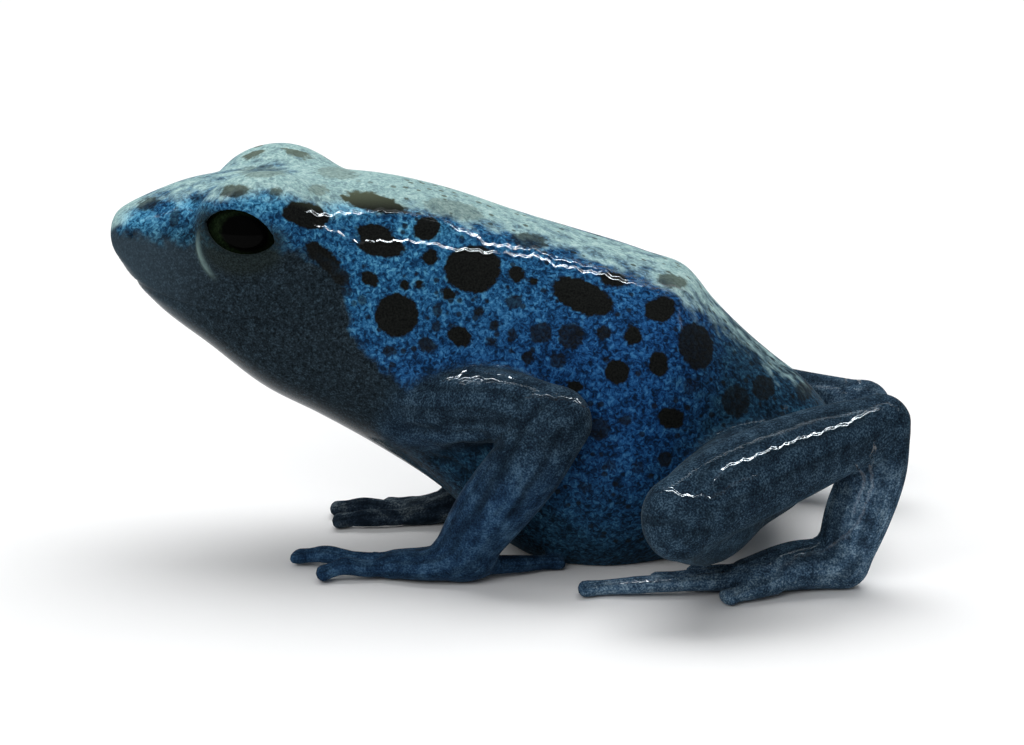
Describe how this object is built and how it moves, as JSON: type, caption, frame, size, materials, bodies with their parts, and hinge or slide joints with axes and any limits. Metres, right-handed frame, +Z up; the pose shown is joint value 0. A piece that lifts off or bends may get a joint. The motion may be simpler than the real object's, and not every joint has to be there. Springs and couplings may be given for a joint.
{
  "type": "blue poison dart frog model",
  "caption": "Life-size still model of a blue poison dart frog sitting alert with its chest raised and hind legs folded.",
  "frame": {"origin": "middle of the frog's bounding box, at floor level", "axes": "+Z up from the floor, -X towards the snout, -Y towards the frog's left side"},
  "size_m": [0.0456, 0.0364, 0.0224],
  "materials": {
    "blue_skin": "moist gloss, granular",
    "limb_skin": "moist gloss",
    "eye_black": "polished gloss"
  },
  "bodies": {
    "root": {"head": "blue_skin", "torso": "blue_skin", "eye_left": "eye_black", "eye_right": "eye_black", "upper_arm_left": "limb_skin", "upper_arm_right": "limb_skin", "forearm_left": "limb_skin", "forearm_right": "limb_skin", "hand_left": "limb_skin", "hand_right": "limb_skin", "thigh_left": "limb_skin", "thigh_right": "limb_skin", "shank_left": "limb_skin", "shank_right": "limb_skin", "tarsus_left": "limb_skin", "tarsus_right": "limb_skin", "foot_left": "limb_skin", "foot_right": "limb_skin"}
  },
  "joints": []
}
